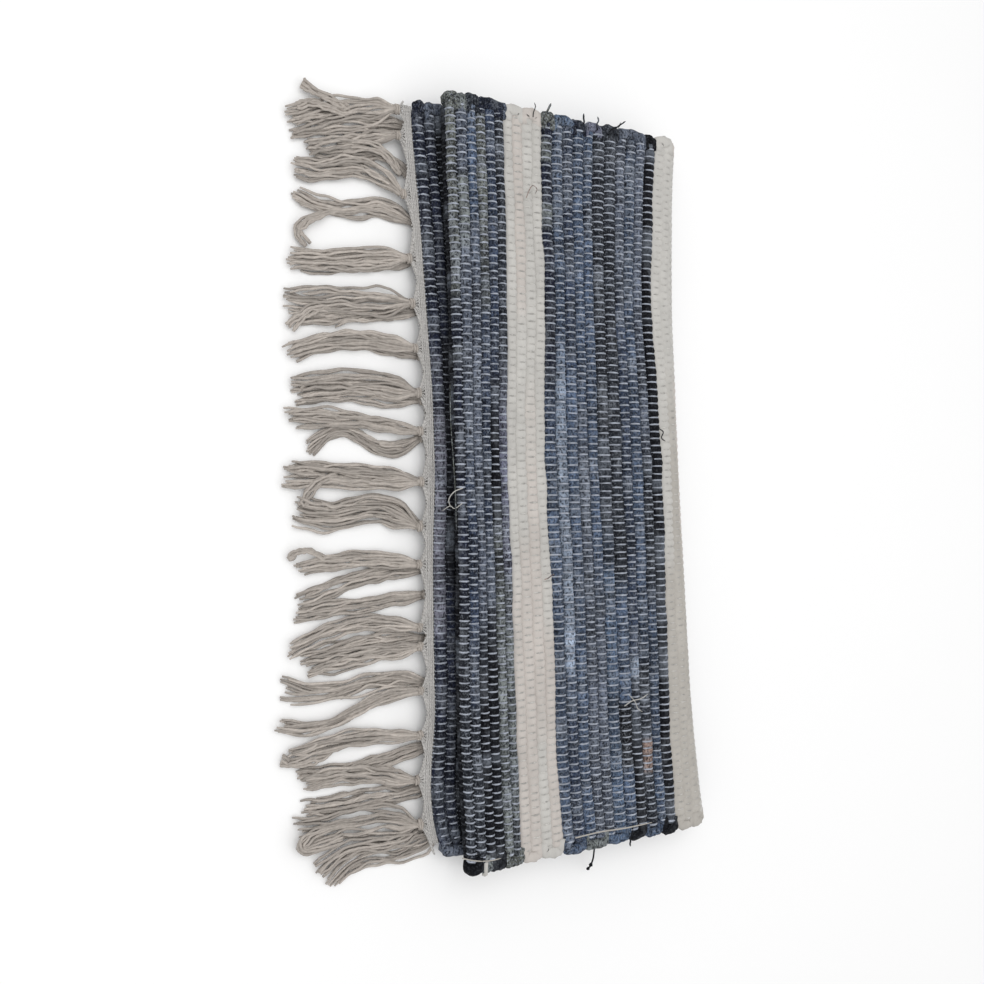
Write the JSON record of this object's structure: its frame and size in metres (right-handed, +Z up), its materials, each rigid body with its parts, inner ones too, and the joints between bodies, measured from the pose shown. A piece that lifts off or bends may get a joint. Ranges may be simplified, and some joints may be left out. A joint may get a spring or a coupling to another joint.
{
  "type": "rag rug",
  "caption": "Woven denim rag rug folded twice into a flat pile, with knotted cotton fringes lying at one side.",
  "frame": {"origin": "centre of the bounding box at the surface the folded rug rests on", "axes": "+X along the warp, from the fringes to the outer fold; +Y along the folds and the weft; +Z up through the layers"},
  "size_m": [0.3895, 0.6152, 0.0388],
  "materials": {
    "woven_rag": "rough woven cotton rag",
    "heading_cotton": "plain woven cotton yarn",
    "fringe_cotton": "loose cotton yarn"
  },
  "bodies": {
    "root": {"rug_cloth": "woven_rag", "heading_lower": "heading_cotton", "heading_upper": "heading_cotton", "fringe_lower": "fringe_cotton", "fringe_upper": "fringe_cotton"}
  },
  "joints": []
}
